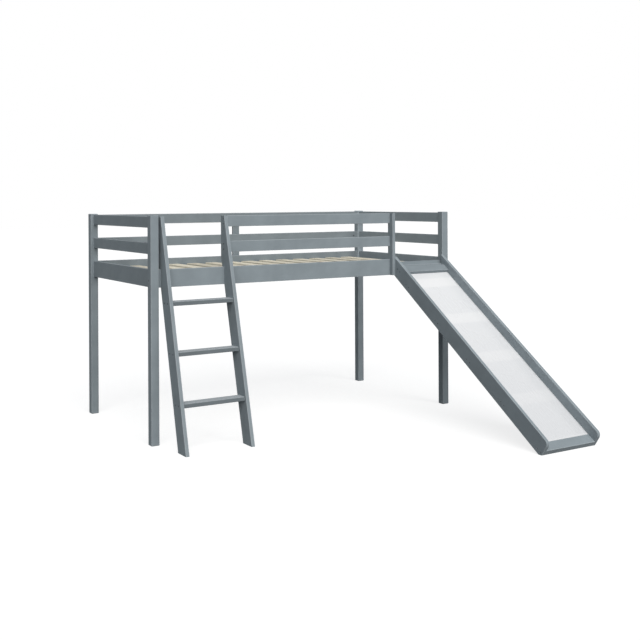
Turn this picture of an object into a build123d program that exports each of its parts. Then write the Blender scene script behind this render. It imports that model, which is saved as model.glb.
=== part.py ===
from build123d import *
from math import cos, radians, sin, tan
import os

# Loft bed with a leaning ladder and a slide. Lengths are in millimetres, angles in degrees.
# X runs along the bed from its left end, Y from the front of its posts to the back, Z up from the floor.
# Every piece is made in that floor corner frame. The last lines move the origin to the middle of the
# floor rectangle that the whole object covers.

# Whole bed, over the posts
bed_length = 1980.0
bed_depth = 980.0
bed_height = 1200.0

# Posts
post_side = 45.0
post_edge_round = 3.0
post_top_chamfer = 2.0
post_foot_chamfer = 2.5

# Rails between the posts
rail_thickness = 19.0
rail_inset = 18.0
rail_edge_round = 2.0
side_rail_height = 95.0
guard_rail_height = 60.0
guard_rail_gap = 79.0
guard_rail_drop = 5.0

# Short upright in the middle of the back
upright_width = 45.0
upright_thickness = 18.0

# Slats and the cleats that carry them
slat_count = 14
slat_sink = 38.0
slat_width = 75.0
slat_thickness = 18.0
slat_edge_round = 2.5
slat_end_clearance = 1.0
slat_margin = 10.0
cleat_depth = 20.0
cleat_height = 30.0
cleat_end_gap = 55.0

# Ladder
ladder_lean = 14.5
stile_post_gap = 18.0
stile_thickness = 20.0
stile_width = 95.0
stile_overhang = 20.0
rung_count = 3
rung_length = 350.0
rung_depth = 70.0
rung_thickness = 22.0
rung_pitch = 253.0
first_rung_top = 248.0
rung_edge_round = 3.0

# Way on to the slide, between the entry post and the front right post
slide_entry_width = 371.0
entry_sink = 18.0
entry_post_thickness = 20.0
entry_post_reach = 12.0

# Slide
slide_slope = 34.2
slide_width = 380.0
slide_drop = 4.0
slide_toe = 20.0
panel_height = 95.0
panel_thickness = 19.0
panel_edge_round = 2.0
panel_foot_round = 28.0
sheet_drop = 53.0
sheet_thickness = 5.0
sheet_groove = 6.0
sheet_side_clearance = 0.5
end_board_width = 55.0
end_board_edge_round = 2.0
top_board_thickness = 20.0
top_board_setback = 18.0
batten_count = 4
batten_width = 80.0
batten_thickness = 18.0
first_batten = 165.0
last_batten = 352.0

# Bed bolts with barrel nuts, and the bolts that hang the slide
bolt_radius = 3.0
bolt_head_radius = 6.5
bolt_head_height = 4.0
bolt_socket_flats = 4.0
bolt_socket_depth = 2.5
bolt_nut_reach = 8.0
lower_bolt_height = 16.0
bolt_spacing = 22.0
barrel_radius = 5.0
barrel_length = 15.0
barrel_inset = 30.0
hanger_bolt_count = 3
hanger_bolt_margin = 60.0
hanger_bolt_tail = 2.0
hex_nut_flats = 10.0
hex_nut_height = 5.0

# Dowels of the end frames
dowel_radius = 4.0
dowel_length = 40.0
dowel_spacing = 30.0
upper_dowel_drop = 20.0

# Connector screws, with flat heads let in flush
connector_radius = 3.2
connector_head_radius = 5.0
connector_head_height = 3.0
connector_length = 50.0
connector_socket_flats = 4.0
connector_socket_depth = 2.0
rung_screw_spacing = 40.0
guard_screw_spacing = 30.0

# Countersunk wood screws: the long ones, the short ones and those of the slats
long_screw_radius = 2.25
long_screw_head_radius = 4.0
long_screw_length = 42.0
short_screw_radius = 2.0
short_screw_head_radius = 3.5
short_screw_length = 34.0
slat_screw_radius = 1.75
slat_screw_head_radius = 3.25
slat_screw_length = 28.0
panel_screw_length = 50.0
screw_slot_width = 1.0
screw_slot_depth = 1.2
rail_screw_spacing = 20.0
cleat_screw_count = 6
cleat_screw_margin = 40.0
upright_screw_spacing = 30.0
panel_screw_spacing = 28.0
hanger_screw_spacing = 12.0
hanger_screw_inset = 5.0

# Clearance round every fastener, and the overrun of every cut
fit = 0.3
cut_overrun = 2.0

# Heights and faces that several pieces share
rail_inner = rail_inset + rail_thickness
rail_middle = rail_inset + rail_thickness / 2
upper_guard_top = bed_height - guard_rail_drop
lower_guard_top = upper_guard_top - guard_rail_height - guard_rail_gap
side_rail_top = lower_guard_top - guard_rail_height - guard_rail_gap
side_rail_bottom = side_rail_top - side_rail_height
slat_top = side_rail_top - slat_sink
cleat_top = slat_top - slat_thickness
cleat_middle = cleat_top - cleat_height / 2
guard_tops = [upper_guard_top, lower_guard_top]
lower_bolt_z = side_rail_bottom + lower_bolt_height
side_bolt_heights = [lower_bolt_z, lower_bolt_z + bolt_spacing]

# Ladder places
left_stile_x = post_side + stile_post_gap
right_stile_x = left_stile_x + stile_thickness + rung_length
stile_run = stile_width / cos(radians(ladder_lean))
stile_foot_y = rail_inset - upper_guard_top * tan(radians(ladder_lean))
rung_tops = [first_rung_top + rung_pitch * step for step in range(rung_count)]

# Slide places: along the slope from the foot of the panels' upright ends, and square to the slope
entry_right_x = bed_length - post_side
entry_left_x = entry_right_x - slide_entry_width
entry_post_x = entry_left_x - entry_post_thickness
slide_right_x = entry_left_x + slide_width
sheet_top = panel_height - sheet_drop
sheet_bottom = sheet_top - sheet_thickness
slide_top_z = side_rail_bottom - slide_drop
slide_end = slide_top_z / sin(radians(slide_slope)) + slide_toe
sheet_start = -sheet_top * tan(radians(slide_slope))
top_board_start = sheet_start + top_board_setback
slide_place = Plane(
    origin=(0, 0, slide_top_z),
    x_dir=(0, -cos(radians(slide_slope)), -sin(radians(slide_slope))),
    z_dir=(0, -sin(radians(slide_slope)), cos(radians(slide_slope))),
).location


def block(x_low, x_high, y_low, y_high, z_low, z_high):
    """Return a square-edged block between two opposite corners."""
    size = Box(x_high - x_low, y_high - y_low, z_high - z_low)
    return Pos((x_low + x_high) / 2, (y_low + y_high) / 2, (z_low + z_high) / 2) * size


def board(x_span, y_span, z_span, along, edge_round):
    """Return a board whose four edges along one axis are rounded."""
    blank = block(*x_span, *y_span, *z_span)
    return fillet(blank.edges().filter_by(along), edge_round)


def from_end(span, whole, far):
    """Return a span measured from the near end of a length, or from its far end."""
    low, high = span
    return (whole - high, whole - low) if far else (low, high)


def spread(low, high, count):
    """Return evenly spaced places from one value to another."""
    return [low + (high - low) * n / (count - 1) for n in range(count)]


def pair(middle, spacing):
    """Return two places on either side of a middle."""
    return [middle - spacing / 2, middle + spacing / 2]


def at(start, direction):
    """Return the location of a fastener that enters at a point along a direction."""
    return Plane(origin=start, z_dir=direction).location


def rod(radius, length, start=0.0):
    """Return a round bar along Z from a start height."""
    return Pos(0, 0, start) * Cylinder(radius, length, align=(Align.CENTER, Align.CENTER, Align.MIN))


def hexagon(flats, height, start=0.0):
    """Return a six-sided bar along Z, sized across its flats."""
    outline = RegularPolygon(flats / 2, 6, major_radius=False)
    return Pos(0, 0, start) * extrude(outline, height)


def cap_bolt(radius, head_radius, head_height, length, socket_flats, socket_depth):
    """Return a flat-headed bolt with a hexagon socket, entering along Z with its head flush at zero."""
    whole = rod(head_radius, head_height) + rod(radius, length)
    return whole - hexagon(socket_flats, socket_depth + cut_overrun, -cut_overrun)


def cap_bolt_bore(radius, head_radius, head_height, length):
    """Return the stepped hole of a flat-headed bolt."""
    counterbore = rod(head_radius + fit, head_height + cut_overrun, -cut_overrun)
    return counterbore + rod(radius + fit, length + fit)


def taper(wide_radius, narrow_radius):
    """Return the cone of a countersunk head, which narrows at forty-five degrees along Z."""
    height = wide_radius - narrow_radius
    return Cone(wide_radius, narrow_radius, height, align=(Align.CENTER, Align.CENTER, Align.MIN))


def wood_screw(radius, head_radius, length):
    """Return a slotted countersunk screw."""
    slot = Box(head_radius * 2 + cut_overrun, screw_slot_width, screw_slot_depth * 2)
    return taper(head_radius, radius) + rod(radius, length) - slot


def wood_screw_bore(radius, head_radius, length):
    """Return the countersunk hole of a wood screw."""
    head = taper(head_radius + fit, radius + fit)
    return head + rod(radius + fit, length + fit) + rod(head_radius + fit, cut_overrun, -cut_overrun)


bed_bolt_length = post_side + barrel_inset + bolt_nut_reach
hanger_bolt_length = rail_inner + cleat_depth + hex_nut_height + hanger_bolt_tail
bed_bolt = cap_bolt(
    bolt_radius, bolt_head_radius, bolt_head_height, bed_bolt_length, bolt_socket_flats, bolt_socket_depth
)
bed_bolt_bore = cap_bolt_bore(bolt_radius, bolt_head_radius, bolt_head_height, bed_bolt_length)
hanger_bolt = cap_bolt(
    bolt_radius, bolt_head_radius, bolt_head_height, hanger_bolt_length, bolt_socket_flats, bolt_socket_depth
)
hanger_bolt_bore = cap_bolt_bore(bolt_radius, bolt_head_radius, bolt_head_height, hanger_bolt_length)
connector = cap_bolt(
    connector_radius, connector_head_radius, connector_head_height, connector_length,
    connector_socket_flats, connector_socket_depth,
)
connector_bore = cap_bolt_bore(
    connector_radius, connector_head_radius, connector_head_height, connector_length
)
long_screw = wood_screw(long_screw_radius, long_screw_head_radius, long_screw_length)
long_screw_bore = wood_screw_bore(long_screw_radius, long_screw_head_radius, long_screw_length)
panel_screw = wood_screw(long_screw_radius, long_screw_head_radius, panel_screw_length)
panel_screw_bore = wood_screw_bore(long_screw_radius, long_screw_head_radius, panel_screw_length)
short_screw = wood_screw(short_screw_radius, short_screw_head_radius, short_screw_length)
short_screw_bore = wood_screw_bore(short_screw_radius, short_screw_head_radius, short_screw_length)
slat_screw = wood_screw(slat_screw_radius, slat_screw_head_radius, slat_screw_length)
slat_screw_bore = wood_screw_bore(slat_screw_radius, slat_screw_head_radius, slat_screw_length)
dowel = rod(dowel_radius, dowel_length)
dowel_bore = rod(dowel_radius + fit, dowel_length + fit + fit, -fit)
barrel_nut_bore = rod(barrel_radius + fit, barrel_length + fit + cut_overrun, -cut_overrun)


def bed_bolt_places():
    """Return where the bolts enter the posts: two for each side rail end, one for each back guard end."""
    guard_middles = [top - guard_rail_height / 2 for top in guard_tops]
    front = [(rail_middle, height) for height in side_bolt_heights]
    back = [(bed_depth - rail_middle, height) for height in side_bolt_heights + guard_middles]
    left = [((0, y, z), (1, 0, 0)) for y, z in front + back]
    right = [((bed_length, y, z), (-1, 0, 0)) for y, z in front + back]
    return left + right


def barrel_nut_locations():
    """Return where a barrel nut lies across each bed bolt, let into the inner face of its rail."""
    locations = []
    for (x, y, z), direction in bed_bolt_places():
        inward = 1 if y < bed_depth / 2 else -1
        centre = (x + direction[0] * (post_side + barrel_inset), y + inward * rail_thickness / 2, z)
        locations.append(Plane(origin=centre, x_dir=(1, 0, 0), z_dir=(0, -inward, 0)).location)
    return locations


def dowel_places():
    """Return where the dowels start in the posts: two for each end of each rail of the end frames."""
    low_dowel = (side_bolt_heights[0] + side_bolt_heights[1]) / 2
    heights = [low_dowel, side_rail_top - upper_dowel_drop]
    for top in guard_tops:
        heights += pair(top - guard_rail_height / 2, dowel_spacing)
    places = []
    for x in (rail_middle, bed_length - rail_middle):
        for z in heights:
            front_y = post_side - dowel_length / 2
            places += [((x, front_y, z), (0, 1, 0)), ((x, bed_depth - front_y, z), (0, -1, 0))]
    return places


def rung_screw_places():
    """Return where the connector screws enter the outer faces of the stiles, two at each rung end."""
    outer_right_x = right_stile_x + stile_thickness
    places = []
    for top in rung_tops:
        for y in pair(rung_middle_y(top), rung_screw_spacing):
            z = top - rung_thickness / 2
            places += [((left_stile_x, y, z), (1, 0, 0)), ((outer_right_x, y, z), (-1, 0, 0))]
    return places


def guard_screw_places():
    """Return where the connector screws enter the right stile and the entry post, two at each rail end."""
    places = []
    for top in guard_tops:
        for z in pair(top - guard_rail_height / 2, guard_screw_spacing):
            places.append(((right_stile_x, rail_middle, z), (1, 0, 0)))
            places.append(((entry_left_x, rail_middle, z), (-1, 0, 0)))
    return places


def rail_screw_places():
    """Return where the long screws enter the front side rail from inside, into the boards before it."""
    middles = [left_stile_x + stile_thickness / 2, right_stile_x + stile_thickness / 2]
    middles.append(entry_post_x + entry_post_thickness / 2)
    heights = pair((slat_top + side_rail_top) / 2, rail_screw_spacing)
    return [((x, rail_inner, z), (0, -1, 0)) for x in middles for z in heights]


def hanger_screw_places():
    """Return where the long screws enter the hanger board from behind, into the panels under the sheet."""
    middles = [entry_left_x + panel_thickness / 2, entry_right_x - hanger_screw_inset]
    tip_drop = (long_screw_length - rail_inset) * tan(radians(slide_slope))
    sheet_over_tip = slide_top_z + sheet_bottom / cos(radians(slide_slope)) - tip_drop
    heights = pair((side_rail_bottom + sheet_over_tip) / 2, hanger_screw_spacing)
    return [((x, rail_inset, z), (0, -1, 0)) for x in middles for z in heights]


def hanger_bolt_places():
    """Return where the bolts enter the front of the hanger board, through the side rail and its cleat."""
    xs = spread(entry_left_x + hanger_bolt_margin, entry_right_x - hanger_bolt_margin, hanger_bolt_count)
    return [((x, 0, cleat_middle), (0, 1, 0)) for x in xs]


def cleat_screw_places(back):
    """Return where the short screws enter a cleat, into its side rail."""
    y = bed_depth - rail_inner - cleat_depth if back else rail_inner + cleat_depth
    low = post_side + cleat_end_gap + cleat_screw_margin
    xs = spread(low, bed_length - low, cleat_screw_count)
    return [((x, y, cleat_middle), (0, 1 if back else -1, 0)) for x in xs]


def upright_screw_places():
    """Return where the short screws enter the middle upright from behind, two for each back rail."""
    y = bed_depth - rail_inset + upright_thickness
    rails = [(side_rail_top, side_rail_height)] + [(top, guard_rail_height) for top in guard_tops]
    heights = [z for top, height in rails for z in pair(top - height / 2, upright_screw_spacing)]
    return [((bed_length / 2, y, z), (0, -1, 0)) for z in heights]


def slat_screw_places(slat_x):
    """Return where the two screws enter one slat, into the cleats."""
    front_y = rail_inner + cleat_depth / 2
    return [((slat_x, y, slat_top), (0, 0, -1)) for y in (front_y, bed_depth - front_y)]


def batten_middles():
    """Return where the middles of the battens lie along the slope, from the first to the last."""
    return spread(sheet_start + first_batten, slide_end - last_batten, batten_count)


def panel_screw_places():
    """Return where the screws enter the slide panels from outside, two for each end of each cross piece."""
    cross_pieces = [(top_board_start + end_board_width / 2, sheet_top + top_board_thickness / 2)]
    cross_pieces += [(middle, sheet_bottom - batten_thickness / 2) for middle in batten_middles()]
    cross_pieces.append((slide_end - end_board_width / 2, sheet_top / 2))
    places = []
    for middle, height in cross_pieces:
        for run in pair(middle, panel_screw_spacing):
            for x, direction in ((entry_left_x, 1), (slide_right_x, -1)):
                point = (slide_place * Pos(run, x, height)).position
                places.append((tuple(point), (direction, 0, 0)))
    return places


def drilled(piece, places, bore):
    """Return a piece with the same bore cut at each place."""
    return piece - [at(start, direction) * bore for start, direction in places]


def drilled_for_nuts(piece):
    """Return a rail with the bores of the bed bolts and of their barrel nuts."""
    bolted = drilled(piece, bed_bolt_places(), bed_bolt_bore)
    return bolted - [location * barrel_nut_bore for location in barrel_nut_locations()]


def fastener_group(places, shape):
    """Return one fastener at each place, as separate solids."""
    return Compound(children=[at(start, direction) * shape for start, direction in places])


def post(right, back):
    """Return one corner post, with its foot and top eased."""
    xs = from_end((0, post_side), bed_length, right)
    ys = from_end((0, post_side), bed_depth, back)
    blank = board(xs, ys, (0, bed_height), Axis.Z, post_edge_round)
    blank = chamfer(blank.faces().sort_by(Axis.Z)[0].edges(), post_foot_chamfer)
    blank = chamfer(blank.faces().sort_by(Axis.Z)[-1].edges(), post_top_chamfer)
    blank = drilled(blank, bed_bolt_places(), bed_bolt_bore)
    return drilled(blank, dowel_places(), dowel_bore)


def long_rail(back, top, height):
    """Return a rail between the left and right posts."""
    ys = from_end((rail_inset, rail_inner), bed_depth, back)
    return board((post_side, bed_length - post_side), ys, (top - height, top), Axis.X, rail_edge_round)


def end_rail(right, top, height):
    """Return a rail of an end frame, doweled between the front and back posts."""
    xs = from_end((rail_inset, rail_inner), bed_length, right)
    blank = board(xs, (post_side, bed_depth - post_side), (top - height, top), Axis.Y, rail_edge_round)
    return drilled(blank, dowel_places(), dowel_bore)


def front_side_rail():
    """Return the front side rail, lowered a little where the slide begins."""
    rail = drilled_for_nuts(long_rail(False, side_rail_top, side_rail_height))
    lowered = block(
        entry_left_x, entry_right_x + cut_overrun, rail_inset - cut_overrun, rail_inner + cut_overrun,
        side_rail_top - entry_sink, side_rail_top + cut_overrun,
    )
    rail = drilled(rail - lowered, rail_screw_places(), long_screw_bore)
    rail = drilled(rail, hanger_bolt_places(), hanger_bolt_bore)
    return drilled(rail, cleat_screw_places(False), short_screw_bore)


def back_side_rail():
    """Return the back side rail."""
    rail = drilled_for_nuts(long_rail(True, side_rail_top, side_rail_height))
    rail = drilled(rail, upright_screw_places(), short_screw_bore)
    return drilled(rail, cleat_screw_places(True), short_screw_bore)


def back_guard_rail(top):
    """Return one guard rail of the back."""
    rail = drilled_for_nuts(long_rail(True, top, guard_rail_height))
    return drilled(rail, upright_screw_places(), short_screw_bore)


def front_guard_rail(top):
    """Return one guard rail of the front, between the ladder's right stile and the slide entry post."""
    xs = (right_stile_x + stile_thickness, entry_post_x)
    rail = board(xs, (rail_inset, rail_inner), (top - guard_rail_height, top), Axis.X, rail_edge_round)
    return drilled(rail, guard_screw_places(), connector_bore)


def middle_upright():
    """Return the short upright screwed to the outer faces of the back rails, flush with the posts."""
    xs = ((bed_length - upright_width) / 2, (bed_length + upright_width) / 2)
    ys = from_end((rail_inset - upright_thickness, rail_inset), bed_depth, True)
    upright = board(xs, ys, (side_rail_bottom, upper_guard_top), Axis.Z, rail_edge_round)
    return drilled(upright, upright_screw_places(), short_screw_bore)


def entry_post():
    """Return the post beside the slide entry, notched over the front side rail."""
    xs = (entry_post_x, entry_left_x)
    ys = (-entry_post_reach, rail_inner)
    blank = board(xs, ys, (side_rail_bottom, upper_guard_top), Axis.Z, rail_edge_round)
    blank -= block(
        entry_post_x - cut_overrun, entry_left_x + cut_overrun, rail_inset, rail_inner + cut_overrun,
        side_rail_bottom - cut_overrun, side_rail_top,
    )
    blank = drilled(blank, guard_screw_places(), connector_bore)
    return drilled(blank, rail_screw_places(), long_screw_bore)


def cleat(back):
    """Return one of the two battens inside the side rails that carry the slats."""
    ys = from_end((rail_inner, rail_inner + cleat_depth), bed_depth, back)
    xs = (post_side + cleat_end_gap, bed_length - post_side - cleat_end_gap)
    blank = board(xs, ys, (cleat_top - cleat_height, cleat_top), Axis.X, rail_edge_round)
    blank = drilled(blank, cleat_screw_places(back), short_screw_bore)
    blank = drilled(blank, hanger_bolt_places(), hanger_bolt_bore)
    for slat_x in slat_middles():
        blank = drilled(blank, slat_screw_places(slat_x), slat_screw_bore)
    return blank


def slat_middles():
    """Return where the middles of the slats lie along the bed."""
    first = post_side + cleat_end_gap + slat_margin + slat_width / 2
    return spread(first, bed_length - first, slat_count)


def slat(middle):
    """Return one slat, lying on both cleats."""
    xs = (middle - slat_width / 2, middle + slat_width / 2)
    front_y = rail_inner + slat_end_clearance
    blank = board(xs, (front_y, bed_depth - front_y), (cleat_top, slat_top), Axis.Y, slat_edge_round)
    return drilled(blank, slat_screw_places(middle), slat_screw_bore)


def stile_front_y(height):
    """Return where the front edge of the stiles lies at a height."""
    return stile_foot_y + height * tan(radians(ladder_lean))


def rung_middle_y(top):
    """Return the middle of a rung, which is centred between the front and back edges of the stiles."""
    return stile_front_y(top - rung_thickness / 2) + stile_run / 2


def stile(x_low):
    """Return one leaning stile, cut level at foot and top and notched over the front side rail."""
    foot = [(stile_foot_y, 0), (stile_foot_y + stile_run, 0)]
    top = [(rail_inset + stile_run, upper_guard_top), (rail_inset, upper_guard_top)]
    outline = Plane.YZ * make_face(Polyline(*foot, *top, close=True))
    blank = Pos(x_low, 0, 0) * extrude(outline, stile_thickness)
    slanted = Axis((0, 0, 0), (0, sin(radians(ladder_lean)), cos(radians(ladder_lean))))
    blank = fillet(blank.edges().filter_by(slanted), rail_edge_round)
    x_span = (x_low - cut_overrun, x_low + stile_thickness + cut_overrun)
    blank -= block(*x_span, rail_inset, bed_depth, side_rail_bottom, side_rail_top)
    blank -= block(*x_span, rail_inner + stile_overhang, bed_depth, side_rail_top - cut_overrun, bed_height)
    blank = drilled(blank, rung_screw_places(), connector_bore)
    blank = drilled(blank, guard_screw_places(), connector_bore)
    return drilled(blank, rail_screw_places(), long_screw_bore)


def rung(top):
    """Return one flat rung between the stiles."""
    xs = (left_stile_x + stile_thickness, right_stile_x)
    ys = tuple(pair(rung_middle_y(top), rung_depth))
    blank = board(xs, ys, (top - rung_thickness, top), Axis.X, rung_edge_round)
    return drilled(blank, rung_screw_places(), connector_bore)


def slide_board(run_span, height_span):
    """Return a cross piece of the slide, fitted between the panels."""
    xs = (entry_left_x + panel_thickness, slide_right_x - panel_thickness)
    blank = slide_place * board(run_span, xs, height_span, Axis.Y, end_board_edge_round)
    blank -= below_floor()
    return drilled(blank, panel_screw_places(), panel_screw_bore)


def below_floor():
    """Return the space under the floor that the foot of the slide is cut flat to."""
    x_span = (entry_left_x - cut_overrun, slide_right_x + cut_overrun)
    return block(*x_span, -slide_end - cut_overrun, 0, -panel_height, 0)


def panel(x_low):
    """Return one side panel of the slide, grooved for the sheet, upright at its top, round at its foot."""
    x_span = (x_low, x_low + panel_thickness)
    start = -panel_height * tan(radians(slide_slope)) - cut_overrun
    blank = block(start, slide_end, *x_span, 0, panel_height)
    foot_corner = blank.edges().filter_by(Axis.Y).sort_by(Axis.X)[-2:].sort_by(Axis.Z)[-1]
    blank = fillet(foot_corner, panel_foot_round)
    blank = slide_place * fillet(blank.edges().filter_by(Axis.Y, reverse=True), panel_edge_round)
    blank -= sheet_block(sheet_start - cut_overrun, sheet_groove)
    blank -= below_floor()
    x_over = (x_low - cut_overrun, x_low + panel_thickness + cut_overrun)
    blank -= block(*x_over, 0, bed_depth, 0, bed_height)
    blank = drilled(blank, panel_screw_places(), panel_screw_bore)
    return drilled(blank, hanger_screw_places(), long_screw_bore)


def sheet_block(start, edge_depth):
    """Return the sheet's thickness from a start down to the foot board, reaching a depth into the panels."""
    x_span = (entry_left_x + panel_thickness - edge_depth, slide_right_x - panel_thickness + edge_depth)
    return slide_place * block(start, slide_end - end_board_width, *x_span, sheet_bottom, sheet_top)


def slide_sheet():
    """Return the white sheet, cut square at its upper end."""
    return sheet_block(-sheet_bottom * tan(radians(slide_slope)), sheet_groove - sheet_side_clearance)


def top_board():
    """Return the board that lies across the sheet near its upper end."""
    run_span = (top_board_start, top_board_start + end_board_width)
    return slide_board(run_span, (sheet_top, sheet_top + top_board_thickness))


def foot_board():
    """Return the board at the foot of the slide, flush with the sheet and cut flat on the floor."""
    return slide_board((slide_end - end_board_width, slide_end), (0, sheet_top))


def sheet_batten(middle):
    """Return one batten under the sheet."""
    run_span = (middle - batten_width / 2, middle + batten_width / 2)
    return slide_board(run_span, (sheet_bottom - batten_thickness, sheet_bottom))


def hanger_board():
    """Return the board between the slide panels' upright ends and the front side rail."""
    blank = block(entry_left_x, entry_right_x, 0, rail_inset, side_rail_bottom, slat_top)
    blank = drilled(blank, hanger_bolt_places(), hanger_bolt_bore)
    return drilled(blank, hanger_screw_places(), long_screw_bore)


def barrel_nuts():
    """Return a barrel nut round each bed bolt."""
    cross_hole = Rot(0, 90, 0) * Cylinder(bolt_radius + fit, barrel_radius * 2 + cut_overrun)
    nut = rod(barrel_radius, barrel_length) - Pos(0, 0, rail_thickness / 2) * cross_hole
    return Compound(children=[location * nut for location in barrel_nut_locations()])


def hanger_nuts():
    """Return a hexagon nut on the tail of each slide bolt, against the cleat."""
    hole = rod(bolt_radius + fit, hex_nut_height + cut_overrun * 2, -cut_overrun)
    nut = hexagon(hex_nut_flats, hex_nut_height) - hole
    seat_y = rail_inner + cleat_depth
    places = [((x, seat_y, z), direction) for (x, _, z), direction in hanger_bolt_places()]
    return fastener_group(places, nut)


def frame_nodes():
    """Return the posts, rails, cleats and slats of the bed."""
    nodes = {}
    for side, right in (("left", False), ("right", True)):
        nodes[f"post_front_{side}"] = post(right, False)
        nodes[f"post_back_{side}"] = post(right, True)
        nodes[f"end_rail_{side}"] = end_rail(right, side_rail_top, side_rail_height)
        nodes[f"guard_rail_{side}_upper"] = end_rail(right, upper_guard_top, guard_rail_height)
        nodes[f"guard_rail_{side}_lower"] = end_rail(right, lower_guard_top, guard_rail_height)
    nodes["side_rail_front"] = front_side_rail()
    nodes["side_rail_back"] = back_side_rail()
    nodes["guard_rail_back_upper"] = back_guard_rail(upper_guard_top)
    nodes["guard_rail_back_lower"] = back_guard_rail(lower_guard_top)
    nodes["guard_rail_front_upper"] = front_guard_rail(upper_guard_top)
    nodes["guard_rail_front_lower"] = front_guard_rail(lower_guard_top)
    nodes["back_middle_upright"] = middle_upright()
    nodes["slide_entry_post"] = entry_post()
    nodes["slat_cleat_front"] = cleat(False)
    nodes["slat_cleat_back"] = cleat(True)
    for number, middle in enumerate(slat_middles(), 1):
        nodes[f"slat_{number:02d}"] = slat(middle)
    return nodes


def ladder_nodes():
    """Return the stiles and rungs."""
    nodes = {"ladder_stile_left": stile(left_stile_x), "ladder_stile_right": stile(right_stile_x)}
    for number, top in enumerate(rung_tops, 1):
        nodes[f"ladder_rung_{number}"] = rung(top)
    return nodes


def slide_nodes():
    """Return the boards and the sheet of the slide."""
    nodes = {
        "slide_panel_left": panel(entry_left_x),
        "slide_panel_right": panel(slide_right_x - panel_thickness),
        "slide_sheet": slide_sheet(),
        "slide_top_board": top_board(),
        "slide_foot_board": foot_board(),
        "slide_hanger_board": hanger_board(),
    }
    for number, middle in enumerate(batten_middles(), 1):
        nodes[f"slide_batten_{number}"] = sheet_batten(middle)
    return nodes


def fastener_nodes():
    """Return the groups of like bolts, nuts, dowels and screws."""
    slat_places = [place for slat_x in slat_middles() for place in slat_screw_places(slat_x)]
    short_places = cleat_screw_places(False) + cleat_screw_places(True) + upright_screw_places()
    return {
        "bed_bolts": fastener_group(bed_bolt_places(), bed_bolt),
        "barrel_nuts": barrel_nuts(),
        "end_frame_dowels": fastener_group(dowel_places(), dowel),
        "connector_screws": fastener_group(rung_screw_places() + guard_screw_places(), connector),
        "long_board_screws": fastener_group(rail_screw_places() + hanger_screw_places(), long_screw),
        "cleat_and_upright_screws": fastener_group(short_places, short_screw),
        "slat_screws": fastener_group(slat_places, slat_screw),
        "slide_panel_screws": fastener_group(panel_screw_places(), panel_screw),
        "slide_hanger_bolts": fastener_group(hanger_bolt_places(), hanger_bolt),
        "slide_hanger_nuts": hanger_nuts(),
    }


nodes = frame_nodes() | ladder_nodes() | slide_nodes() | fastener_nodes()
boxes = [shape.bounding_box() for shape in nodes.values()]
middle_x = (min(box.min.X for box in boxes) + max(box.max.X for box in boxes)) / 2
middle_y = (min(box.min.Y for box in boxes) + max(box.max.Y for box in boxes)) / 2

os.makedirs("parts", exist_ok=True)
for name, shape in nodes.items():
    placed = Compound(children=[Pos(-middle_x, -middle_y, 0) * solid for solid in shape.solids()])
    export_step(placed, f"parts/{name}.step")
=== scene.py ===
import bpy
import numpy as np
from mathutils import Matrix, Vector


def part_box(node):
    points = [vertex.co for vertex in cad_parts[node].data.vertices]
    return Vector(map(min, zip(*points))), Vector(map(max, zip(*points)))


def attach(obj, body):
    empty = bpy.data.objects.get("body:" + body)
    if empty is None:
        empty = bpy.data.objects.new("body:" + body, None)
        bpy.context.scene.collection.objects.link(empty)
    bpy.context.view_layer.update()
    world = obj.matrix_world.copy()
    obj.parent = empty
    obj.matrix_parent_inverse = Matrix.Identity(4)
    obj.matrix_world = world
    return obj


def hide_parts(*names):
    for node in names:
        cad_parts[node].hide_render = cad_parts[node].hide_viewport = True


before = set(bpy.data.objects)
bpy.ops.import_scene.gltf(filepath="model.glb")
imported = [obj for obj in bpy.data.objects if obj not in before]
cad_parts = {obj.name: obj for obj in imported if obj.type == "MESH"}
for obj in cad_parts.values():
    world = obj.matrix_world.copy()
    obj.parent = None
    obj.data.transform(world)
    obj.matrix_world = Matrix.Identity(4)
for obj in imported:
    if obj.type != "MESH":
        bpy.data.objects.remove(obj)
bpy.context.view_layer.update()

# Corner posts. Four square posts of knotty pine, 45 mm thick, planed and eased along their arrises, then sprayed
# with two coats of grey satin paint. The paint levels the grain but does not hide it, and thins over the arrises.
# The paler band along every board's arrises is partly that worn, thin paint and partly a painted highlight.

paint_grey = (0.250, 0.289, 0.313, 1.0)
paint_thin_and_highlight = (0.45, 0.49, 0.515, 1.0)
# Paler grey for the upper faces of the rungs: painted light from above.
paint_lit_top = (0.37, 0.405, 0.43, 1.0)
# Shares of each post's paint: painted light above one, painted shade below one.
post_painted_light_and_shade = {"front_left": 0.97, "front_right": 1.0, "back_left": 0.92, "back_right": 1.16}
grain_stretch = 0.05
worn_and_highlight_from_arris = (0.0016, 0.0058)
lit_top_skin = (0.0012, 0.0004)


def add(tree, kind, inputs=None, **settings):
    """Return a new shader node. An input that is given a socket is linked to it, any other is set."""
    made = tree.nodes.new(kind)
    for name, value in settings.items():
        setattr(made, name, value)
    for name, value in (inputs or {}).items():
        if isinstance(value, bpy.types.NodeSocket):
            tree.links.new(value, made.inputs[name])
        else:
            made.inputs[name].default_value = value
    return made


def calc(tree, operation, a, b=0.0, c=0.0):
    """Return the socket of one sum on numbers."""
    return add(tree, "ShaderNodeMath", {0: a, 1: b, 2: c}, operation=operation).outputs[0]


def scaled(tree, value, by, plus=0.0):
    """Return the socket of a value times a number, plus another."""
    return calc(tree, "MULTIPLY_ADD", value, by, plus)


def smooth(tree, value, low, high):
    """Return a socket that rises smoothly from zero at low to one at high."""
    ramp = add(tree, "ShaderNodeMapRange", {"Value": value, "From Min": low, "From Max": high},
               interpolation_type="SMOOTHSTEP")
    return ramp.outputs["Result"]


def fading(tree, value, low, high):
    """Return a socket that falls smoothly from one at low to zero at high."""
    return calc(tree, "SUBTRACT", 1.0, smooth(tree, value, low, high))


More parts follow.
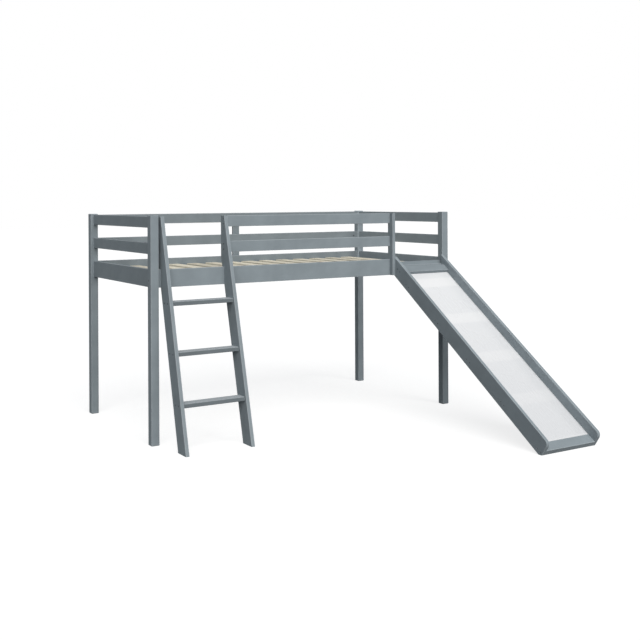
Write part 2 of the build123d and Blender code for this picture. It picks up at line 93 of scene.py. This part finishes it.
def blend_colour(tree, share, first, second, way="MIX"):
    """Return the socket of two colours mixed by a share."""
    made = add(tree, "ShaderNodeMix", data_type="RGBA", blend_type=way)
    colours = [socket for socket in made.inputs if socket.type == "RGBA"]
    for socket, value in zip([made.inputs["Factor"], *colours], (share, first, second)):
        if isinstance(value, bpy.types.NodeSocket):
            tree.links.new(value, socket)
        else:
            socket.default_value = value
    return [socket for socket in made.outputs if socket.type == "RGBA"][0]


def shaded(colour, share):
    """Return a colour made darker or lighter by a share."""
    return tuple(value * share for value in colour[:3]) + (1.0,)


def tinted(tree, colour, tone):
    """Return the socket of a colour times a tone that changes from place to place."""
    grey = add(tree, "ShaderNodeCombineColor", {0: tone, 1: tone, 2: tone}).outputs[0]
    return blend_colour(tree, 1.0, colour, grey, "MULTIPLY")


def noise(tree, vector, scale, detail=2.0, roughness=0.5):
    """Return the value socket of a noise pattern with that many waves to the metre."""
    inputs = {"Vector": vector, "Scale": scale, "Detail": detail, "Roughness": roughness}
    return add(tree, "ShaderNodeTexNoise", inputs).outputs["Fac"]


def board_space(tree, centre, turn):
    """Return the Object coordinates measured from a board's centre, turned about X by its lean."""
    coordinates = add(tree, "ShaderNodeTexCoord").outputs["Object"]
    inputs = {"Vector": coordinates, "Location": tuple(centre), "Rotation": (turn, 0.0, 0.0)}
    return add(tree, "ShaderNodeMapping", inputs, vector_type="TEXTURE").outputs["Vector"]


def drawn_out(tree, place, shares):
    """Return coordinates times a share along each axis, which draws a pattern out where the share is small."""
    return add(tree, "ShaderNodeVectorMath", {0: place, 1: shares}, operation="MULTIPLY").outputs[0]


def arris_distance(tree, place, half):
    """Return how far a point of a board's surface lies from its nearest arris.

    Of the three distances to the board's faces, the least is nought on a face, so the middle one is the
    distance to the nearest edge of that face.
    """
    away = add(tree, "ShaderNodeVectorMath", {0: place}, operation="ABSOLUTE").outputs[0]
    inside = add(tree, "ShaderNodeVectorMath", {0: tuple(half), 1: away}, operation="SUBTRACT").outputs[0]
    x, y, z = add(tree, "ShaderNodeSeparateXYZ", {0: inside}).outputs
    lesser = calc(tree, "MINIMUM", x, y)
    greater = calc(tree, "MAXIMUM", x, y)
    return calc(tree, "MAXIMUM", lesser, calc(tree, "MINIMUM", greater, z))


def grain_space(tree, place, along, seed):
    """Return a board's coordinates with its grain turned to Z and drawn out, set off from the heart of the tree."""
    x, y, z = add(tree, "ShaderNodeSeparateXYZ", {0: place}).outputs
    across = [axis for number, axis in enumerate((x, y, z)) if number != along]
    length = (x, y, z)[along]
    shift = np.random.default_rng(seed).uniform((0.02, 0.03, -4.0), (0.06, 0.09, 4.0))
    parts = {
        0: calc(tree, "ADD", across[0], float(shift[0])),
        1: calc(tree, "ADD", across[1], float(shift[1])),
        2: scaled(tree, length, by=grain_stretch, plus=float(shift[2])),
    }
    return add(tree, "ShaderNodeCombineXYZ", parts).outputs[0]


def year_rings(tree, grain):
    """Return the year rings of pine: rings round the heart, bent by slow noise, narrow and dark on one side."""
    inputs = {
        "Vector": grain, "Scale": 62.0, "Distortion": 5.0, "Detail": 2.0, "Detail Scale": 0.35,
        "Detail Roughness": 0.55,
    }
    made = add(tree, "ShaderNodeTexWave", inputs, wave_type="RINGS", rings_direction="Z", wave_profile="SAW")
    return made.outputs["Fac"]


def new_material(name):
    """Return a new material and its empty node tree."""
    material = bpy.data.materials.new(name)
    material.use_nodes = True
    material.node_tree.nodes.clear()
    return material, material.node_tree


def finish_material(tree, colour, rough, height, relief, depth, constants=None):
    """End a material in one shader, with the relief of a height pattern and constants on its own sockets."""
    bump = add(tree, "ShaderNodeBump", {"Strength": relief, "Distance": depth, "Height": height}).outputs[0]
    inputs = {"Base Color": colour, "Roughness": rough, "Normal": bump, **(constants or {})}
    shader = add(tree, "ShaderNodeBsdfPrincipled", inputs).outputs[0]
    add(tree, "ShaderNodeOutputMaterial", {"Surface": shader})


def painted_pine(name, centre, half, along, turn=0.0, shade=1.0, lit_top=0.0):
    """Return the grey paint on one board, from the board's centre, half sizes, grain axis and lean.

    A board with a lit top has paler paint over its upper face too, by that share, in patches: painted light from
    above.
    """
    material, tree = new_material(name + "_paint")
    seed = sum(ord(letter) * (number + 3) for number, letter in enumerate(name))
    place = board_space(tree, centre, turn)
    grain = grain_space(tree, place, along, seed)
    rings = year_rings(tree, grain)
    fibres = noise(tree, grain, scale=420.0, detail=3.0, roughness=0.6)
    clouds = noise(tree, place, scale=7.0, detail=3.0, roughness=0.55)
    peel = noise(tree, place, scale=900.0, detail=1.0)
    ragged = noise(tree, place, scale=130.0, detail=3.0, roughness=0.65)
    arris = scaled(tree, ragged, by=0.0040, plus=arris_distance(tree, place, half))
    thin_and_highlight = fading(tree, arris, *worn_and_highlight_from_arris)

    dark, light = shaded(paint_grey, shade * 0.93), shaded(paint_grey, shade * 1.05)
    colour = blend_colour(tree, smooth(tree, clouds, 0.3, 0.7), dark, light)
    streak = scaled(tree, fibres, by=0.10, plus=0.95)
    colour = tinted(tree, colour, scaled(tree, rings, by=-0.035, plus=streak))
    # Paler paint along the arrises: partly thin, worn paint and partly a painted highlight of the eased arrises.
    colour = blend_colour(tree, scaled(tree, thin_and_highlight, by=0.54), colour, shaded(paint_thin_and_highlight, shade))
    # Painted light: the upper face is made paler in patches, standing in for light from above.
    if lit_top:
        level = add(tree, "ShaderNodeSeparateXYZ", {0: place}).outputs["Z"]
        top_face = smooth(tree, level, *(float(half[2]) - skin for skin in lit_top_skin))
        patches = scaled(tree, clouds, by=0.4, plus=lit_top - 0.2)
        colour = blend_colour(tree, calc(tree, "MULTIPLY", top_face, patches), colour, paint_lit_top)

    rough = scaled(tree, thin_and_highlight, by=-0.06, plus=scaled(tree, clouds, by=0.16, plus=0.58))
    height = scaled(tree, rings, by=0.5, plus=scaled(tree, fibres, by=0.6))
    height = scaled(tree, peel, by=0.22, plus=height)
    finish_material(tree, colour, rough, height, relief=0.30, depth=0.00022, constants={"IOR": 1.2})
    return material


def dress(node, material):
    """Give a CAD node its material."""
    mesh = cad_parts[node].data
    mesh.materials.clear()
    mesh.materials.append(material)


def dress_board(node, shade=1.0, lit_top=0.0):
    """Paint one upright or level board, whose grain runs along its longest side."""
    low, high = (np.array(corner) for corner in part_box(node))
    half = (high - low) / 2
    along = int(half.argmax())
    dress(node, painted_pine(node, (low + high) / 2, half, along, shade=shade, lit_top=lit_top))


for corner, shade in post_painted_light_and_shade.items():
    dress_board(f"post_{corner}", shade=shade)

# End frames. The two short ends: a deep rail at the level of the slats and two narrow guard rails over it, 19 mm
# pine boards doweled into the posts and painted with them.

# The left end's paint is darker and the right end's lighter: painted shade and painted light.
for side, shade in (("left", 0.92), ("right", 1.14)):
    for name in (f"end_rail_{side}", f"guard_rail_{side}_upper", f"guard_rail_{side}_lower"):
        dress_board(name, shade=shade)

# Side rails and back guard. The long boards between the end frames, 19 mm pine, bolted to the posts with barrel
# nuts. A short upright is screwed across the back rails from behind and keeps them in line.

dress_board("side_rail_front")
# The back boards' paint is darker: painted shade.
for name in ("side_rail_back", "guard_rail_back_upper", "guard_rail_back_lower", "back_middle_upright"):
    dress_board(name, shade=0.82)

# Front guard. Two painted guard rails between the ladder's right stile and the short post beside the slide entry,
# held by connector screws through both. The post is notched over the side rail.

for name in ("guard_rail_front_upper", "guard_rail_front_lower", "slide_entry_post"):
    dress_board(name)

# Cleats. Two pine battens, 30 by 20 mm, screwed along the inner faces of the side rails and painted with them.
# The slats lie on them.

for name in ("slat_cleat_front", "slat_cleat_back"):
    dress_board(name)

# Slats. Fourteen planed boards of bare pine, 75 by 18 mm, left unpainted and screwed to the cleats. Each comes
# from another tree, so tone, grain and knots change from one slat to the next.

slat_names = [f"slat_{number:02d}" for number in range(1, 15)]
first_slat, last_slat = (np.array(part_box(name)) for name in (slat_names[0], slat_names[-1]))
slat_pitch = float((last_slat[0, 0] - first_slat[0, 0]) / (len(slat_names) - 1))
trees_apart = 2.7
heart_below = 0.05
early_wood = (0.73, 0.68, 0.555, 1.0)
late_wood = (0.64, 0.54, 0.385, 1.0)
knot_brown = (0.34, 0.20, 0.10, 1.0)


def bare_pine(name):
    """Return planed pine for the slats.

    The number of a slat is its place along the bed over the pitch, rounded. White noise of that number gives
    its tone and moves its figure to another part of the tree.
    """
    material, tree = new_material(name)
    place = board_space(tree, first_slat.mean(0), 0.0)
    x, y, z = add(tree, "ShaderNodeSeparateXYZ", {0: place}).outputs
    number = calc(tree, "ROUND", calc(tree, "DIVIDE", x, slat_pitch))
    chance = add(tree, "ShaderNodeTexWhiteNoise", {"W": number}, noise_dimensions="1D").outputs["Value"]
    own_x = calc(tree, "SUBTRACT", x, scaled(tree, number, by=slat_pitch))
    own_tree = scaled(tree, number, by=trees_apart)
    grain = add(tree, "ShaderNodeCombineXYZ", {
        0: calc(tree, "ADD", own_x, scaled(tree, chance, by=0.08, plus=0.01)),
        1: calc(tree, "ADD", z, heart_below),
        2: scaled(tree, y, by=grain_stretch, plus=own_tree),
    }).outputs[0]
    spread = add(tree, "ShaderNodeCombineXYZ", {0: own_x, 1: y, 2: calc(tree, "ADD", z, own_tree)}).outputs[0]
    late = smooth(tree, year_rings(tree, grain), 0.45, 1.0)
    fibres = noise(tree, grain, scale=700.0, detail=3.0, roughness=0.6)
    clouds = noise(tree, spread, scale=9.0)
    long_cells = {"Vector": drawn_out(tree, spread, (1.0, 0.45, 1.0)), "Scale": 11.0, "Randomness": 1.0}
    cells = add(tree, "ShaderNodeTexVoronoi", long_cells).outputs
    cell_chance = add(tree, "ShaderNodeSeparateColor", {0: cells["Color"]}).outputs[0]
    with_knot = calc(tree, "GREATER_THAN", cell_chance, 0.55)
    knot = calc(tree, "MULTIPLY", fading(tree, cells["Distance"], 0.06, 0.17), with_knot)

    colour = blend_colour(tree, scaled(tree, late, by=0.55), early_wood, late_wood)
    tone = scaled(tree, chance, by=0.26, plus=0.71)
    tone = scaled(tree, fibres, by=0.14, plus=tone)
    tone = scaled(tree, clouds, by=0.12, plus=tone)
    colour = tinted(tree, colour, tone)
    colour = blend_colour(tree, scaled(tree, knot, by=0.85), colour, knot_brown)
    rough = scaled(tree, fibres, by=0.2, plus=0.52)
    height = scaled(tree, late, by=0.6, plus=fibres)
    finish_material(tree, colour, rough, height, relief=0.4, depth=0.0003, constants={"IOR": 1.45})
    return material


slat_pine = bare_pine("slat_pine")
for name in slat_names:
    dress(name, slat_pine)

# Ladder. Two pine stiles that lean on the side rail and are notched over it, and three flat rungs screwed between
# them, painted grey. The stiles' grain follows their lean. The rungs' paint is darker all over, painted shade, and
# paler on their upper faces, painted light from above.

ladder_lean = np.radians(14.5)
stile_half = np.array((0.010, 0.0475, 0.66))
for side in ("left", "right"):
    name = f"ladder_stile_{side}"
    low, high = (np.array(corner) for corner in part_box(name))
    middle_x, _, middle_z = (low + high) / 2
    middle_y = low[1] + stile_half[1] / np.cos(ladder_lean) + middle_z * np.tan(ladder_lean)
    dress(name, painted_pine(name, (middle_x, middle_y, middle_z), stile_half, 2, turn=-ladder_lean))
# The rungs' paint is darker, painted shade, and their upper faces paler, painted light.
for number in (1, 2, 3):
    dress_board(f"ladder_rung_{number}", shade=0.62, lit_top=0.95)

# Slide boards. Two pine side panels, 95 by 19 mm, on edge down the slope, a board across the sheet's upper end, a
# board at its foot and four battens under it, all painted grey, hung from a board that is bolted to the side rail.

slide_slope = np.radians(34.2)
slide_top_z = 0.818
slide_top_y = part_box("post_front_left")[0][1]
down_slope = np.array((0.0, -np.cos(slide_slope), -np.sin(slide_slope)))
off_slope = np.array((0.0, -np.sin(slide_slope), np.cos(slide_slope)))
panel_start = -0.065
panel_height = 0.095
slide_end = 1.4753
sheet_start = -0.0285
sheet_face = 0.042
end_board_width = 0.055
top_board_setback = 0.018
top_board_thickness = 0.020
batten_half = 0.040
batten_heights = (0.019, 0.037)
first_batten = 0.165
last_batten = 0.352
batten_middles = np.linspace(sheet_start + first_batten, slide_end - last_batten, 4)


def on_slope(x, run, height):
    """Return the point at a distance down the slope and square off it, from the panels' upper lower corner."""
    return np.array((x, slide_top_y, slide_top_z)) + run * down_slope + height * off_slope


def dress_slide_board(node, run_span, height_span, shade=1.0):
    """Paint a board of the slide that lies at these distances down the slope and off it."""
    low, high = (np.array(corner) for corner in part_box(node))
    spans = np.array([(low[0], high[0]), run_span, height_span])
    half = (spans[:, 1] - spans[:, 0]) / 2
    along = 1 if half[1] > half[0] else 0
    dress(node, painted_pine(node, on_slope(*spans.mean(1)), half, along, turn=slide_slope, shade=shade))


for side in ("left", "right"):
    dress_slide_board(f"slide_panel_{side}", (panel_start, slide_end), (0.0, panel_height))
top_board_start = sheet_start + top_board_setback
top_board_span = (top_board_start, top_board_start + end_board_width)
# The top board's paint is darker: painted shade.
dress_slide_board("slide_top_board", top_board_span, (sheet_face, sheet_face + top_board_thickness), shade=0.88)
dress_slide_board("slide_foot_board", (slide_end - end_board_width, slide_end), (0.0, sheet_face))
for number, middle in enumerate(batten_middles, 1):
    dress_slide_board(f"slide_batten_{number}", (middle - batten_half, middle + batten_half), batten_heights)
dress_board("slide_hanger_board")

# White sheet. The running surface: 5 mm board with a smooth white laminate, let into grooves in the panels. It lies
# flat on the battens, bows very slightly between them, and is faintly scuffed along the run.

sheet_low, sheet_high = (np.array(corner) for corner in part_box("slide_sheet"))
sheet_tuck = 0.0055
sheet_run = (sheet_start + sheet_tuck, slide_end - end_board_width)
sheet_thickness = 0.005
sheet_bow = 0.0006
sheet_ease = 0.0006
batten_pitch = float(batten_middles[1] - batten_middles[0])
laminate_white = (0.690, 0.700, 0.714, 1.0)
laminate_painted_highlight = (0.745, 0.750, 0.758, 1.0)
laminate_painted_shade = (0.570, 0.580, 0.598, 1.0)
laminate_scuffed = (0.60, 0.61, 0.62, 1.0)


def new_object(name, data):
    """Return a new object, linked to the scene."""
    made = bpy.data.objects.new(name, data)
    bpy.context.scene.collection.objects.link(made)
    return made


def laminate_sheet(name, run_steps, wide_steps):
    """Return the white sheet as a closed surface.

    Upper face: points at distance s down the slope and x across, sunk below the flat by a small depth times
    the sine squared of pi times the distance past the first batten over the batten pitch. The bow fades out
    towards the panels, and both faces are eased by a small chamfer all round. Lower face: the same points, one
    thickness further in. A wall of quads joins the two faces' rims.
    """
    runs = np.linspace(*sheet_run, run_steps)
    xs = np.linspace(sheet_low[0], sheet_high[0], wide_steps)
    run, x = np.meshgrid(runs, xs, indexing="ij")
    bow = sheet_bow * np.sin(np.pi * (run - batten_middles[0]) / batten_pitch) ** 2
    across = np.clip(1 - ((x - xs.mean()) / (xs[-1] - xs[0]) * 2) ** 4, 0, 1)
    rim = np.minimum(np.minimum(run - runs[0], runs[-1] - run), np.minimum(x - xs[0], xs[-1] - x))
    eased = np.clip(sheet_ease - rim, 0, None)
    top = sheet_face - bow * across - eased
    bottom = sheet_face - sheet_thickness + eased
    points = [np.stack([x, slide_top_y + run * down_slope[1] + height * off_slope[1],
                        slide_top_z + run * down_slope[2] + height * off_slope[2]], -1).reshape(-1, 3)
              for height in (top, bottom)]
    index = np.arange(run.size).reshape(run.shape)
    upper = np.stack([index[:-1, :-1], index[1:, :-1], index[1:, 1:], index[:-1, 1:]], -1).reshape(-1, 4)
    lower = upper[:, ::-1] + run.size
    border = np.concatenate([index[0, :-1], index[:-1, -1], index[-1, :0:-1], index[:0:-1, 0]])
    following = np.roll(border, -1)
    wall = np.stack([border, following, following + run.size, border + run.size], -1)
    mesh = bpy.data.meshes.new(name)
    mesh.from_pydata(np.concatenate(points), [], np.concatenate([upper, lower, wall]).tolist())
    mesh.validate()
    mesh.polygons.foreach_set("use_smooth", np.ones(len(mesh.polygons), bool))
    return new_object(name, mesh)


def white_laminate(name):
    """Return smooth white laminate: a trace of orange peel, long faint scuffs, a painted highlight in bands over
    the battens, and painted shade that darkens it towards the foot.
    """
    material, tree = new_material(name)
    place = board_space(tree, on_slope(sheet_low[0], 0.0, 0.0), slide_slope)
    down = scaled(tree, add(tree, "ShaderNodeSeparateXYZ", {0: place}).outputs["Y"], by=-1.0)
    past_batten = calc(tree, "SUBTRACT", down, float(batten_middles[0]))
    batten_highlight = fading(tree, calc(tree, "PINGPONG", past_batten, batten_pitch / 2), 0.028, 0.052)
    lines = noise(tree, drawn_out(tree, place, (1.0, 0.06, 1.0)), scale=210.0, detail=4.0, roughness=0.65)
    scuffs = smooth(tree, lines, 0.52, 0.78)
    haze = noise(tree, place, scale=5.0)
    peel = noise(tree, place, scale=320.0)
    # Painted highlight: the sheet is whiter in bands over the battens.
    colour = blend_colour(tree, batten_highlight, laminate_white, laminate_painted_highlight)
    # Painted shade: the sheet grows darker towards the foot of the slide.
    lower = scaled(tree, smooth(tree, down, 0.1, 1.4), by=0.55)
    colour = blend_colour(tree, lower, colour, laminate_painted_shade)
    colour = blend_colour(tree, scaled(tree, scuffs, by=0.20), colour, laminate_scuffed)
    rough = scaled(tree, haze, by=0.10, plus=scaled(tree, scuffs, by=0.22, plus=0.22))
    finish_material(tree, colour, rough, peel, relief=0.12, depth=0.0002, constants={"IOR": 1.5})
    return material


sliding_sheet = laminate_sheet("sliding_sheet", 240, 40)
sliding_sheet.data.materials.append(white_laminate("white_laminate"))
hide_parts("slide_sheet")
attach(sliding_sheet, "root")

# Bolts, screws and nuts. Black zinc plated steel: bolts and barrel nuts for the rails, flat headed connector
# screws for rungs and guard rails, countersunk screws for slats, cleats, stiles and slide panels.

steel_nodes = [
    "bed_bolts", "barrel_nuts", "connector_screws", "long_board_screws", "cleat_and_upright_screws",
    "slat_screws", "slide_panel_screws", "slide_hanger_bolts", "slide_hanger_nuts",
]
zinc_dark = (0.085, 0.095, 0.105, 1.0)
zinc_light = (0.13, 0.14, 0.15, 1.0)


def zinc_plate(name):
    """Return black zinc plated steel: a dark cool metal, clouded, with fine turning marks and dull spots."""
    material, tree = new_material(name)
    place = add(tree, "ShaderNodeTexCoord").outputs["Object"]
    clouds = noise(tree, place, scale=180.0, detail=3.0)
    marks = noise(tree, place, scale=1500.0)
    colour = blend_colour(tree, smooth(tree, clouds, 0.3, 0.7), zinc_dark, zinc_light)
    rough = scaled(tree, clouds, by=0.25, plus=0.34)
    finish_material(tree, colour, rough, marks, relief=0.2, depth=0.0001, constants={"Metallic": 1.0})
    return material


zinc = zinc_plate("zinc_plate")
for name in steel_nodes:
    dress(name, zinc)

# Dowels. Beech dowels, 8 mm thick, in the joints of the end frames. They are bare wood, and hidden once the frames
# are glued up.

beech_dark = (0.47, 0.30, 0.17, 1.0)
beech_light = (0.62, 0.43, 0.26, 1.0)


def beech(name):
    """Return plain beech: even reddish wood with short dark flecks along the grain."""
    material, tree = new_material(name)
    place = add(tree, "ShaderNodeTexCoord").outputs["Object"]
    flecks = noise(tree, drawn_out(tree, place, (1.0, 0.12, 1.0)), scale=900.0, detail=3.0, roughness=0.6)
    colour = blend_colour(tree, smooth(tree, flecks, 0.35, 0.65), beech_dark, beech_light)
    rough = scaled(tree, flecks, by=0.2, plus=0.5)
    finish_material(tree, colour, rough, flecks, relief=0.3, depth=0.0002)
    return material


dress("end_frame_dowels", beech("beech"))

# Studio. A plain pale floor and backdrop, one broad soft lamp high at the left front, and the camera at eye level
# at the bed's left front. Only what the camera and gloss see of floor and backdrop is white, which lights nothing.

floor_half = 40.0
floor_dull = (0.20, 0.20, 0.20, 1.0)
floor_pale = (0.30, 0.30, 0.30, 1.0)
pure_white = (1.0, 1.0, 1.0, 1.0)
sky_soft = (0.78, 1.0, 1.22, 1.0)
lamp_from = np.array((-0.22, -0.82, 0.72))
image_width = 640
lens_pixels = 983.6
horizon_row = 199.68
camera_yaw = 31.983
camera_roll = 0.281


def seen_directly(tree):
    """Return one for what the camera, gloss or glass sees, and zero for light that falls on something else."""
    path = add(tree, "ShaderNodeLightPath").outputs
    seen = calc(tree, "MAXIMUM", path["Is Camera Ray"], path["Is Glossy Ray"])
    return calc(tree, "MAXIMUM", seen, path["Is Transmission Ray"])


def studio_floor(name):
    """Return the floor's material: it takes the shadow, and looks white to the camera and in gloss."""
    material, tree = new_material(name)
    dull = add(tree, "ShaderNodeBsdfDiffuse", {"Color": floor_dull}).outputs[0]
    pale = add(tree, "ShaderNodeBsdfDiffuse", {"Color": floor_pale}).outputs[0]
    glow = add(tree, "ShaderNodeEmission", {"Color": pure_white, "Strength": 0.80}).outputs[0]
    white = add(tree, "ShaderNodeAddShader", {0: pale, 1: glow}).outputs[0]
    both = add(tree, "ShaderNodeMixShader", {0: seen_directly(tree), 1: dull, 2: white}).outputs[0]
    add(tree, "ShaderNodeOutputMaterial", {"Surface": both})
    return material


floor_mesh = bpy.data.meshes.new("studio_floor")
floor_mesh.from_pydata(
    [(-floor_half, -floor_half, 0), (floor_half, -floor_half, 0), (floor_half, floor_half, 0),
     (-floor_half, floor_half, 0)], [], [(0, 1, 2, 3)])
floor_mesh.materials.append(studio_floor("studio_floor"))
floor = new_object("studio_floor", floor_mesh)

world = bpy.data.worlds.new("studio")
bpy.context.scene.world = world
world.use_nodes = True
sky = world.node_tree
sky.nodes.clear()
soft = add(sky, "ShaderNodeBackground", {"Color": sky_soft, "Strength": 0.12}).outputs[0]
white = add(sky, "ShaderNodeBackground", {"Color": pure_white, "Strength": 1.0}).outputs[0]
both = add(sky, "ShaderNodeMixShader", {0: seen_directly(sky), 1: soft, 2: white}).outputs[0]
add(sky, "ShaderNodeOutputWorld", {"Surface": both})

lamp = bpy.data.lights.new("soft_lamp", "SUN")
lamp.energy = float(np.linalg.norm(lamp_from) * np.pi)
lamp.color = (1.02, 1.0, 0.975)
lamp.angle = np.radians(65)
lamp_object = new_object("soft_lamp", lamp)
lamp_object.rotation_mode = "QUATERNION"
lamp_object.rotation_quaternion = Vector(lamp_from.tolist()).to_track_quat("Z", "Y")

camera_data = bpy.data.cameras.new("camera")
camera_data.sensor_fit = "HORIZONTAL"
camera_data.sensor_width = 36.0
camera_data.lens = lens_pixels / image_width * camera_data.sensor_width
camera_data.shift_y = (horizon_row - image_width / 2) / image_width
camera_data.clip_end = 200.0
camera = new_object("camera", camera_data)
camera.location = (-2.9482, -4.6569, 1.2788)
camera.rotation_euler = np.radians((90, camera_roll, -camera_yaw))
bpy.context.scene.camera = camera
bpy.context.scene.view_settings.view_transform = "Standard"
